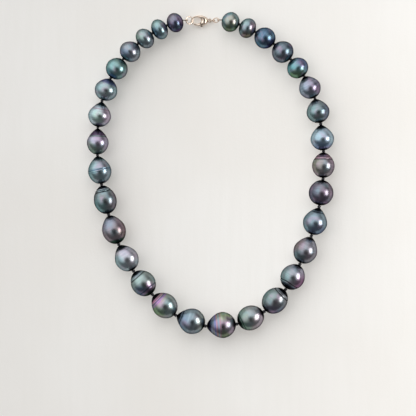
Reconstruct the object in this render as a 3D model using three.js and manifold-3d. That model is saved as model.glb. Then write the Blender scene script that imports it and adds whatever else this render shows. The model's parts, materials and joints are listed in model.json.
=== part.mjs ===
// Knotted strand of 31 graduated baroque pearls with a lobster-claw clasp.
// Millimetres, +Z up. The strand lies flat on z = 0 in a long oval:
// the clasp is at +Y and the largest pearls are at -Y.
// The jump ring at the left end rests on the nose of the clasp, and the clasp is not hooked through it.

import * as THREE from 'three';
import { mergeVertices } from 'three/addons/utils/BufferGeometryUtils.js';
import Module from 'manifold-3d';

const wasm = await Module();
wasm.setup();

// ---------------------------------------------------------------- driving dimensions

// Each pearl, from the left side of the clasp round the front to the right side of the clasp:
// [diameter, length along the strand, how much it narrows towards the clasp, colour].
const PEARLS = [
  [10.6, 8.8, 0.0, 'aubergine'],
  [11.4, 8.5, 0.05, 'sage'],
  [11.4, 9.2, 0.05, 'pewter'],
  [11.9, 11.0, 0.2, 'slate'],
  [12.1, 11.6, 0.08, 'green'],
  [12.6, 12.2, 0.26, 'sage'],
  [12.8, 13.6, 0.55, 'mauve'],
  [12.1, 14.0, 0.5, 'mauve'],
  [13.0, 15.0, 0.42, 'teal'],
  [12.5, 15.5, 0.2, 'slate'],
  [13.0, 15.8, 0.3, 'aubergine'],
  [13.2, 15.1, 0.4, 'silver'],
  [13.3, 14.9, 0.16, 'teal'],
  [13.5, 15.3, 0.22, 'pewter'],
  [14.3, 15.7, 0.42, 'steel'],
  [14.5, 15.7, 0.4, 'mauve'],
  [13.4, 14.8, 0.06, 'green'],
  [13.3, 15.2, 0.06, 'pewter'],
  [13.3, 14.3, 0.14, 'mauve'],
  [13.2, 15.0, 0.36, 'taupe'],
  [13.5, 14.9, 0.46, 'steel'],
  [13.5, 13.7, 0.1, 'aubergine'],
  [12.4, 13.7, 0.22, 'taupe'],
  [13.2, 13.8, 0.5, 'silver'],
  [12.7, 13.0, 0.36, 'slate'],
  [12.1, 12.6, 0.34, 'mauve'],
  [11.9, 11.0, 0.1, 'green'],
  [12.3, 11.6, 0.16, 'slate'],
  [11.6, 11.6, 0.1, 'steel'],
  [11.0, 9.0, 0.0, 'sage'],
  [10.8, 9.6, 0.0, 'green'],
];
const FRONT_PEARL = 16; // the middle of the strand, counted from 1

// The line that the strand lies along, from one end's drill hole to the other's.
const ROUTE = [
  [-14.9, 83.9],
  [-27.6, 79.0],
  [-43.6, 66.8],
  [-56.5, 46.5],
  [-61.1, 18.4],
  [-57.0, -13.0],
  [-45.9, -44.6],
  [-25.3, -70.3],
  [-11.0, -79.4],
  [6.5, -81.6],
  [22.8, -77.1],
  [36.5, -67.0],
  [52.2, -39.2],
  [60.1, -8.6],
  [60.5, 20.6],
  [54.0, 47.6],
  [39.5, 66.5],
  [20.4, 79.6],
  [6.3, 84.1],
];

const BORE_R = 0.6;
const BORE_LIP = 0.02;
const PEARL_SIDES = 12;
const PEARL_RINGS = 10; // an even number, so that one ring is at the widest place
const NARROWING_START = -0.3; // along a pearl, from -1 at its full end to 1 at its narrow end

const THREAD_R = 0.3;
const THREAD_SIDES = 6;
const KNOT_BANDS = 4;
const KNOT_R = 0.8;
const SMALL_GAP = 0.5; // between neighbours of up to SMALL_PEARL in diameter
const LARGE_GAP = 1.5; // between neighbours of LARGE_PEARL or more
const SMALL_PEARL = 11.8;
const LARGE_PEARL = 13.3;
const KNOT_CLEARANCE = 0.15;

const GIMP_R = 0.38;
const GIMP_BORE_R = 0.25;
const END_THREAD_R = 0.12; // the thread's two strands part where they pass through the gimp
const GIMP_START = 0.85; // from the end pearl's hole
const GIMP_REACH = 1.9; // from the end pearl's hole to the wire in the loop
const LOOP_R = 0.91;
const LOOP_MOUTH = 0.5; // the loop's two legs start this far above and below its middle line
const THREAD_PARTS = 0.5; // the thread parts into two strands this far inside each end pearl
const STRAND_OVERLAP = 0.2; // each strand starts this far inside the undivided thread
const STRAND_INTO_LOOP = 0.08; // and ends this far inside the thread's loop
const STRAND_SPREAD = 1.06; // where the loop's legs lie by then, against LOOP_MOUTH
const LOOP_STEPS = 16;
const END_THREAD_SIDES = 4;
const WIRE_SIDES = 8;
const RING_STEPS = 20;

const LEFT_RING_R = 1.97; // rings are given at the middle of their wire
const LEFT_WIRE_R = 0.33;
const LINK_LENGTH = 3.9;
const LINK_WIDTH = 2.3;
const LINK_WIRE_R = 0.3;
const SMALL_RING_R = 1.5;
const SMALL_WIRE_R = 0.28;
const RING_LIFT = 0.05; // clearance of the upright ring from the table
const LINK_IN_RING = new THREE.Vector2(0.62, 0.2); // the link's end wire, from the upright ring's centre
const EYE_IN_RING = 1.38; // the upright ring's centre to the middle of the clasp's eye

// The clasp in its own frame: the eye's middle at the origin, the nose towards +X, the lever on the +Y side.
const BODY = { x: 5.5, y: 0, halfLength: 4.8, halfWidth: 2.9 };
const MOUTH = { x: 6.9, y: -0.1, halfLength: 2.45, halfWidth: 1.65 };
const EYE_R = 1.15;
const EYE_HOLE_R = 0.6;
const BELLY_THICKNESS = 3.0;
const NOSE_THICKNESS = 2.0;
const EYE_THICKNESS = 1.0;
const GATE = [4.5, 8.8]; // the stretch of the rim that the lever closes
const GATE_FLOOR = 0.4; // the gate cuts the rim above this height
const LEVER_PIN = new THREE.Vector2(3.5, 1.35);
const PIN_R = 0.28;
const PIN_LENGTH = 2.7;
const PIN_HOLE_R = 0.44;
const SLOT_THICKNESS = 1.3;
const SLOT_START = 1.7;
const SLOT_FLOOR = 0.1;
const SLOT_OVERLAP = 0.4; // the slot runs this far into the gate, so that the lever's root clears its sides
const TONGUE_THICKNESS = 0.9;
const TONGUE = [2.7, 5.4];
const TONGUE_FLOOR = 0.55;
const THUMB_LUG = { x: 4.35, y: 2.95, r: 0.62 };
const SPRING = { x: 2.2, y: 1.1, halfLength: 0.34, halfWidth: 0.72 };
const LEAF = 0.17; // the spring's thickness
const LEAF_WIDTH = 0.7;
const LEAF_OPENING = [0.9, 1.3];
const FIT = 0.14; // play between the clasp's own pieces
const THROUGH = 5; // reaches past the whole clasp
const TOP = 5; // above the whole clasp, across it
const RING_ON_NOSE = 0.25; // clearance of the left ring above the nose
const OVAL_SIDES = 28;
const EYE_SIDES = 20;
const EYE_HOLE_SIDES = 14;
const PIN_SIDES = 12;

const WELD = 1e-5; // points closer than this are one
const ROUTE_DIVISIONS = 1000; // how finely the route's length is measured

// ---------------------------------------------------------------- looks

const NACRE = {
  aubergine: 0x3a3442,
  slate: 0x3b4044,
  green: 0x46564c,
  sage: 0x58635c,
  teal: 0x4f6468,
  steel: 0x46525e,
  pewter: 0x686c6c,
  silver: 0x8d9496,
  mauve: 0x79707a,
  taupe: 0x6f6660,
};
const silk = new THREE.MeshStandardMaterial({ color: 0x15151c, roughness: 0.8, metalness: 0 });
const gold = new THREE.MeshStandardMaterial({ color: 0xb9a283, roughness: 0.25, metalness: 1 });

function nacre(colour) {
  return new THREE.MeshStandardMaterial({ color: NACRE[colour], roughness: 0.25, metalness: 0.3 });
}

// ---------------------------------------------------------------- solids

const necklace = new THREE.Group();

function addPiece(name, geometry, material, matrix = new THREE.Matrix4()) {
  const mesh = new THREE.Mesh(geometry, material.clone());
  mesh.name = name;
  mesh.applyMatrix4(matrix);
  necklace.add(mesh);
  return mesh;
}

function toSolid(geometry) {
  const bare = geometry.clone();
  bare.deleteAttribute('normal');
  bare.deleteAttribute('uv');
  const merged = mergeVertices(bare, WELD);
  return new wasm.Manifold(new wasm.Mesh({
    numProp: 3,
    vertProperties: new Float32Array(merged.attributes.position.array),
    triVerts: new Uint32Array(merged.index.array),
  }));
}

function toGeometry(solid) {
  const { vertProperties, triVerts } = solid.getMesh();
  const geometry = new THREE.BufferGeometry();
  geometry.setAttribute('position', new THREE.BufferAttribute(new Float32Array(vertProperties), 3));
  geometry.setIndex(new THREE.BufferAttribute(new Uint32Array(triVerts), 1));
  return geometry;
}

// The turn that lays a solid's own Y along a direction.
function turnUpTo(direction) {
  return new THREE.Quaternion().setFromUnitVectors(new THREE.Vector3(0, 1, 0), direction);
}

function rodBetween(start, end, radius, sides) {
  const along = end.clone().sub(start);
  const rod = new THREE.CylinderGeometry(radius, radius, along.length(), sides);
  rod.applyQuaternion(turnUpTo(along.normalize()));
  const middle = start.clone().add(end).multiplyScalar(0.5);
  return toSolid(rod.translate(middle.x, middle.y, middle.z));
}

function circle(radius, sides) {
  const points = [];
  for (let i = 0; i < sides; i++) {
    const turn = (2 * Math.PI * i) / sides;
    points.push(new THREE.Vector2(radius * Math.cos(turn), radius * Math.sin(turn)));
  }
  return points;
}

// A plate in the XY plane, centred on z = 0.
function plate(points, thickness) {
  const outline = new THREE.Shape(points);
  const body = new THREE.ExtrudeGeometry(outline, { depth: thickness, bevelEnabled: false });
  return toSolid(body.translate(0, 0, -thickness / 2));
}

function disc(x, y, radius, thickness, sides) {
  return plate(circle(radius, sides).map((p) => new THREE.Vector2(x + p.x, y + p.y)), thickness);
}

function oval({ x, y, halfLength, halfWidth }, thickness, grow = 0) {
  const outline = circle(1, OVAL_SIDES).map((p) =>
    new THREE.Vector2(x + (halfLength + grow) * p.x, y + (halfWidth + grow) * p.y));
  return plate(outline, thickness);
}

function block(x0, x1, y0, y1, thickness) {
  const corners = [[x0, y0], [x1, y0], [x1, y1], [x0, y1]];
  return plate(corners.map(([x, y]) => new THREE.Vector2(x, y)), thickness);
}

// ---------------------------------------------------------------- the line of the strand

// The gap between two neighbours grows with their size.
function gapBetween(first, second) {
  const size = (PEARLS[first][0] + PEARLS[second][0]) / 2;
  const share = THREE.MathUtils.clamp((size - SMALL_PEARL) / (LARGE_PEARL - SMALL_PEARL), 0, 1);
  return THREE.MathUtils.lerp(SMALL_GAP, LARGE_GAP, share);
}

// A point in the middle of every gap, and one at each end's drill hole, spread along the route.
function layOutStations() {
  const points = ROUTE.map(([x, y]) => new THREE.Vector3(x, y, 0));
  const curve = new THREE.CatmullRomCurve3(points, false, 'centripetal');
  curve.arcLengthDivisions = ROUTE_DIVISIONS;
  const marks = [0];
  PEARLS.forEach(([, length], k) => {
    const before = k > 0 ? gapBetween(k - 1, k) / 2 : 0;
    const after = k < PEARLS.length - 1 ? gapBetween(k, k + 1) / 2 : 0;
    marks.push(marks[k] + before + length + after);
  });
  const total = marks[PEARLS.length];
  return marks.map((mark, k) => {
    const point = curve.getPointAt(mark / total);
    const left = PEARLS[Math.max(k - 1, 0)][0];
    const right = PEARLS[Math.min(k, PEARLS.length - 1)][0];
    point.z = (left + right) / 4;
    return point;
  });
}

const stations = layOutStations();
const strandStart = stations[0];
const strandEnd = stations[PEARLS.length];

// ---------------------------------------------------------------- pearls

// Half the outline of a drilled pearl. Height 0 is its middle, and it may narrow towards its upper end.
function pearlOutline(diameter, length, taper) {
  const narrowest = (diameter / 2) * (1 - Math.abs(taper));
  const first = Math.asin(BORE_R / narrowest);
  const outline = [];
  for (let i = 0; i <= PEARL_RINGS; i++) {
    const turn = THREE.MathUtils.lerp(first, Math.PI - first, i / PEARL_RINGS);
    const height = -Math.cos(turn) / Math.cos(first);
    const towardsNarrow = Math.sign(taper || 1) * height;
    const reach = Math.max(0, (towardsNarrow - NARROWING_START) / (1 - NARROWING_START));
    const radius = (diameter / 2) * Math.sin(turn) * (1 - Math.abs(taper) * reach * reach);
    outline.push(new THREE.Vector2(Math.max(radius, BORE_R + BORE_LIP), (height * length) / 2));
  }
  const halfLength = length / 2;
  outline.unshift(new THREE.Vector2(BORE_R, -halfLength));
  outline.push(new THREE.Vector2(BORE_R, halfLength));
  outline.push(outline[0].clone());
  return outline;
}

// Stands the pearl's own Y along the strand, towards the clasp, with its own Z pointing down at the table.
function pearlFrame(k) {
  const towardsClasp = k < FRONT_PEARL ? [stations[k + 1], stations[k]] : [stations[k], stations[k + 1]];
  const along = towardsClasp[1].clone().sub(towardsClasp[0]).normalize();
  const side = along.clone().cross(new THREE.Vector3(0, 0, -1)).normalize();
  const down = side.clone().cross(along);
  return new THREE.Matrix4().makeBasis(side, along, down);
}

function pearlMiddle(k) {
  const along = stations[k + 1].clone().sub(stations[k]).normalize();
  const before = k > 0 ? gapBetween(k - 1, k) / 2 : 0;
  return stations[k].clone().addScaledVector(along, before + PEARLS[k][1] / 2);
}

function pearlName(k) {
  return `pearl_${String(k + 1).padStart(2, '0')}`;
}

PEARLS.forEach(([diameter, length, taper, colour], k) => {
  const geometry = new THREE.LatheGeometry(pearlOutline(diameter, length, taper), PEARL_SIDES);
  addPiece(pearlName(k), geometry, nacre(colour), pearlFrame(k).setPosition(pearlMiddle(k)));
});

// ---------------------------------------------------------------- the ends: gimp loops, rings and link

// A frame at an end pearl's hole: X leads out towards the clasp and down by the droop, Y is sideways.
function endFrame(hole, outward, droop) {
  const flat = new THREE.Vector3(outward.x, outward.y, 0).normalize();
  const x = flat.clone().multiplyScalar(Math.cos(droop)).add(new THREE.Vector3(0, 0, -Math.sin(droop)));
  const y = new THREE.Vector3(0, 0, 1).cross(flat);
  const z = x.clone().cross(y);
  return new THREE.Matrix4().makeBasis(x, y, z).setPosition(hole);
}

// The loop's line, in the end frame's XZ plane, round a wire that lies across it at GIMP_REACH.
function loopPath() {
  const points = [new THREE.Vector3(GIMP_START, 0, LOOP_MOUTH)];
  for (let degrees = 125; degrees >= -125; degrees -= 25) {
    const turn = THREE.MathUtils.degToRad(degrees);
    points.push(new THREE.Vector3(GIMP_REACH + LOOP_R * Math.cos(turn), 0, LOOP_R * Math.sin(turn)));
  }
  points.push(new THREE.Vector3(GIMP_START, 0, -LOOP_MOUTH));
  return new THREE.CatmullRomCurve3(points);
}

function sweptRoundLoop(section) {
  const sweep = { steps: LOOP_STEPS, extrudePath: loopPath(), bevelEnabled: false };
  return new THREE.ExtrudeGeometry(section, sweep);
}

function gimpLoop() {
  const section = new THREE.Shape(circle(GIMP_R, WIRE_SIDES));
  section.holes.push(new THREE.Path(circle(GIMP_BORE_R, WIRE_SIDES)));
  return sweptRoundLoop(section);
}

// The thread's own loop inside the gimp, and the two strands that lead back into the pearl's hole.
function endThread() {
  const section = new THREE.Shape(circle(END_THREAD_R, END_THREAD_SIDES));
  const loop = sweptRoundLoop(section);
  const inHole = new THREE.Vector3(-THREAD_PARTS - STRAND_OVERLAP, 0, 0);
  const strands = [LOOP_MOUTH, -LOOP_MOUTH].map((height) => {
    const inLoop = new THREE.Vector3(GIMP_START + STRAND_INTO_LOOP, 0, height * STRAND_SPREAD);
    return rodBetween(inHole, inLoop, END_THREAD_R, END_THREAD_SIDES);
  });
  return wasm.Manifold.union([toSolid(loop), ...strands]);
}

// A ring of round wire in its own XY plane. Its middle line is an ellipse.
function wireRing(halfLength, halfWidth, wireR) {
  const ring = new THREE.TorusGeometry(1, wireR, WIRE_SIDES, RING_STEPS);
  const place = ring.attributes.position;
  for (let i = 0; i < place.count; i++) {
    const turn = Math.atan2(place.getY(i), place.getX(i));
    const out = Math.hypot(place.getX(i), place.getY(i)) - 1;
    const normal = new THREE.Vector2(halfWidth * Math.cos(turn), halfLength * Math.sin(turn)).normalize();
    place.setX(i, halfLength * Math.cos(turn) + out * normal.x);
    place.setY(i, halfWidth * Math.sin(turn) + out * normal.y);
  }
  return ring;
}

// From the strand's right end to its left end.
const claspLine = strandStart.clone().sub(strandEnd).setZ(0).normalize();
const noseTop = BELLY_THICKNESS / 2 + NOSE_THICKNESS / 2;
const smallRingHeight = SMALL_RING_R + SMALL_WIRE_R + RING_LIFT;

const leftRingEnd = noseTop + RING_ON_NOSE + LEFT_WIRE_R;
const leftDroop = Math.asin((strandStart.z - leftRingEnd) / (GIMP_REACH + 2 * LEFT_RING_R));
const leftFrame = endFrame(strandStart, claspLine.clone().negate(), leftDroop);

const linkEnd = smallRingHeight + LINK_IN_RING.y;
const rightDroop = Math.asin((strandEnd.z - linkEnd) / (GIMP_REACH + LINK_LENGTH));
const rightFrame = endFrame(strandEnd, claspLine, rightDroop);

function inFrame(frame, x) {
  return new THREE.Vector3(x, 0, 0).applyMatrix4(frame);
}

function placedAlong(frame, x) {
  return frame.clone().multiply(new THREE.Matrix4().makeTranslation(x, 0, 0));
}

addPiece('gimp_left', gimpLoop(), gold, leftFrame);
addPiece('gimp_right', gimpLoop(), gold, rightFrame);

const leftRing = wireRing(LEFT_RING_R, LEFT_RING_R, LEFT_WIRE_R);
addPiece('jump_ring_left', leftRing, gold, placedAlong(leftFrame, GIMP_REACH + LEFT_RING_R));

const link = wireRing(LINK_LENGTH / 2, LINK_WIDTH / 2, LINK_WIRE_R);
addPiece('chain_link', link, gold, placedAlong(rightFrame, GIMP_REACH + LINK_LENGTH / 2));

const linkFarWire = inFrame(rightFrame, GIMP_REACH + LINK_LENGTH);
const smallRingMiddle = linkFarWire.clone().addScaledVector(claspLine, LINK_IN_RING.x);
smallRingMiddle.setZ(smallRingHeight);
const standing = new THREE.Matrix4().makeRotationX(Math.PI / 2);
const upright = endFrame(smallRingMiddle, claspLine, 0).multiply(standing);
addPiece('jump_ring_right', wireRing(SMALL_RING_R, SMALL_RING_R, SMALL_WIRE_R), gold, upright);

// ---------------------------------------------------------------- thread

function knot(k) {
  const length = gapBetween(k - 1, k) - 2 * KNOT_CLEARANCE;
  const along = stations[k + 1].clone().sub(stations[k - 1]).normalize();
  const ball = new THREE.SphereGeometry(KNOT_R, THREAD_SIDES, KNOT_BANDS).scale(1, length / 2 / KNOT_R, 1);
  ball.applyQuaternion(turnUpTo(along));
  return toSolid(ball.translate(stations[k].x, stations[k].y, stations[k].z));
}

function silkThread() {
  const last = PEARLS.length;
  const ends = [
    strandStart.clone().lerp(stations[1], THREAD_PARTS / strandStart.distanceTo(stations[1])),
    strandEnd.clone().lerp(stations[last - 1], THREAD_PARTS / strandEnd.distanceTo(stations[last - 1])),
  ];
  const line = [ends[0], ...stations.slice(1, last), ends[1]];
  const pieces = line.slice(1).map((point, k) => rodBetween(line[k], point, THREAD_R, THREAD_SIDES));
  for (let k = 1; k < last; k++) pieces.push(knot(k));
  pieces.push(toSolid(toGeometry(endThread()).applyMatrix4(leftFrame)));
  pieces.push(toSolid(toGeometry(endThread()).applyMatrix4(rightFrame)));
  return wasm.Manifold.union(pieces);
}

addPiece('silk_thread', toGeometry(silkThread()), silk);

// ---------------------------------------------------------------- lobster-claw clasp

// The clasp's side view: a thin eye, a full belly and a slimmer nose.
function sideProfile() {
  const eye = EYE_THICKNESS / 2;
  const belly = BELLY_THICKNESS / 2;
  const nose = NOSE_THICKNESS / 2;
  const upper = [
    [-2, eye],
    [0.9, eye],
    [1.9, belly * 0.92],
    [3.2, belly],
    [4.6, belly * 0.95],
    [6.6, nose],
    [11, nose * 0.8],
  ];
  const lower = upper.map(([x, z]) => [x, -z]).reverse();
  const points = [...upper, ...lower].map(([x, z]) => new THREE.Vector2(x, z));
  return toSolid(toGeometry(plate(points, 2 * TOP)).rotateX(Math.PI / 2));
}

function claspBody() {
  const outline = oval(BODY, BELLY_THICKNESS).add(disc(0, 0, EYE_R, EYE_THICKNESS, EYE_SIDES));
  const cuts = [
    disc(0, 0, EYE_HOLE_R, THROUGH, EYE_HOLE_SIDES),
    oval(MOUTH, THROUGH),
    block(GATE[0], GATE[1], GATE_FLOOR, TOP, THROUGH),
    block(SLOT_START, GATE[0] + SLOT_OVERLAP, SLOT_FLOOR, TOP, SLOT_THICKNESS),
    disc(LEVER_PIN.x, LEVER_PIN.y, PIN_HOLE_R, THROUGH, PIN_SIDES),
  ];
  return outline.intersect(sideProfile()).subtract(wasm.Manifold.union(cuts));
}

// A finger that closes the gate, a tongue in the slot that it turns on, and a lug for the thumb.
function claspLever() {
  const fingerSpan = block(GATE[0] + SLOT_OVERLAP, GATE[1] - FIT, GATE_FLOOR, TOP, NOSE_THICKNESS);
  const finger = oval(BODY, NOSE_THICKNESS).intersect(fingerSpan);
  const tongueSpan = block(TONGUE[0], TONGUE[1], TONGUE_FLOOR, TOP, TONGUE_THICKNESS);
  const tongue = oval(BODY, TONGUE_THICKNESS).intersect(tongueSpan);
  const thumbLug = disc(THUMB_LUG.x, THUMB_LUG.y, THUMB_LUG.r, TONGUE_THICKNESS, PIN_SIDES);
  const pinHole = disc(LEVER_PIN.x, LEVER_PIN.y, PIN_HOLE_R, THROUGH, PIN_SIDES);
  return finger.add(tongue).add(thumbLug).subtract(oval(MOUTH, THROUGH)).subtract(pinHole);
}

function claspPin() {
  return disc(LEVER_PIN.x, LEVER_PIN.y, PIN_R, PIN_LENGTH, PIN_SIDES);
}

// A leaf bent into a C, which pushes the heel of the lever away from the end of its slot.
function claspSpring() {
  const leaf = oval(SPRING, LEAF_WIDTH).subtract(oval(SPRING, THROUGH, -LEAF));
  return leaf.subtract(block(SPRING.x, SPRING.x + 1, LEAF_OPENING[0], LEAF_OPENING[1], THROUGH));
}

const claspFrame = endFrame(smallRingMiddle.clone().addScaledVector(claspLine, EYE_IN_RING), claspLine, 0);
claspFrame.setPosition(new THREE.Vector3().setFromMatrixPosition(claspFrame).setZ(BELLY_THICKNESS / 2));
addPiece('clasp_body', toGeometry(claspBody()), gold, claspFrame);
addPiece('clasp_lever', toGeometry(claspLever()), gold, claspFrame);
addPiece('clasp_pin', toGeometry(claspPin()), gold, claspFrame);
addPiece('clasp_spring', toGeometry(claspSpring()), gold, claspFrame);

// ---------------------------------------------------------------- origin

// The origin is under the middle of the whole strand, on the surface that it lies on.
const bounds = new THREE.Box3().setFromObject(necklace, true);
const middle = bounds.getCenter(new THREE.Vector3()).setZ(bounds.min.z);
necklace.position.copy(middle).negate();

// The points that the pieces turn about, in the finished frame.
const pivots = {
  jump_ring_left: inFrame(leftFrame, GIMP_REACH),
  chain_link: inFrame(rightFrame, GIMP_REACH),
  jump_ring_right: linkFarWire.clone(),
  clasp_body: new THREE.Vector3().setFromMatrixPosition(claspFrame),
  clasp_lever: new THREE.Vector3(LEVER_PIN.x, LEVER_PIN.y, 0).applyMatrix4(claspFrame),
};
for (let k = 1; k < PEARLS.length; k++) pivots[`knot_${String(k).padStart(2, '0')}`] = stations[k].clone();
for (const point of Object.values(pivots)) point.sub(middle);
necklace.userData.pivots = pivots;

export default necklace;
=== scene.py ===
"""The looks of a knotted strand of dark baroque pearls with a lobster-claw clasp, flat on a pale floor."""

import json
import math

import bmesh
import bpy
import numpy as np
from mathutils import Matrix, Vector, noise


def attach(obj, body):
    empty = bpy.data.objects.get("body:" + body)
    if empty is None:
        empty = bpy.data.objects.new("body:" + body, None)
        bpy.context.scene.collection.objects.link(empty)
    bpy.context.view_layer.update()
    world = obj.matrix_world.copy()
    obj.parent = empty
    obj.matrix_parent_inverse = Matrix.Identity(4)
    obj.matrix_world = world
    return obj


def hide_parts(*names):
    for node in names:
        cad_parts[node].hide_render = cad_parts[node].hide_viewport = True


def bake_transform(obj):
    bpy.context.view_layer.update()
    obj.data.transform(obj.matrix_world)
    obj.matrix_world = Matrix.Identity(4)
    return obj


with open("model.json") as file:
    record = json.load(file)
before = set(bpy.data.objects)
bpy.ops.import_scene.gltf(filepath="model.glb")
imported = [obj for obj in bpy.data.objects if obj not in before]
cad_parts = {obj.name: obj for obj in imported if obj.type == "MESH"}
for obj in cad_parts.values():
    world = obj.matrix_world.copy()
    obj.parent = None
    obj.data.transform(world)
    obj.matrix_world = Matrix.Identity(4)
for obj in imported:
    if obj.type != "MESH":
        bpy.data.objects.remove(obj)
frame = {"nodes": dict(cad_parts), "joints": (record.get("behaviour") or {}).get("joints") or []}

MM = 0.001
UP = Vector((0, 0, 1))
PEARL_COUNT = 31
FRONT_PEARL = 16  # the root body, where the two halves of the strand meet

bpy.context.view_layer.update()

# ---------------------------------------------------------------- each pearl's look

COMPASS = {
    "N": (0, 1), "NE": (0.7, 0.7), "E": (1, 0), "SE": (0.7, -0.7),
    "S": (0, -1), "SW": (-0.7, -0.7), "W": (-1, 0), "NW": (-0.7, 0.7), "TOP": (0, 0),
}


def look(taper, body, patches=(), caps=(), rings=(), streaks=0.12, wobble=0.012):
    """How one pearl looks. Places along the pearl run from -1 to 1 at the end that is nearer the clasp.

    taper:   how much it narrows towards the clasp, negative for the other end
    body:    the colour of most of it
    patches: (side of the pearl as seen from above, colour, how far it spreads from 0 to 1), the pearl's own
    hues mixed with painted light on the sides the broad light falls on and painted shade on the sides away
    from it
    caps:    (place where it starts, colour), towards the end on that side; the dark ones paint shade where the pearl meets its knot over the tip's own tone, and the few lighter ones are the pearl's own tone
    rings:   (place, depth in mm, colour) of a groove round the pearl
    streaks: how strong the fine bands round it are
    wobble:  how deep its widest dents are, as a share of its radius
    """
    return {"taper": taper, "body": body, "patches": patches, "caps": caps, "rings": rings,
            "streaks": streaks, "wobble": wobble}


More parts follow.
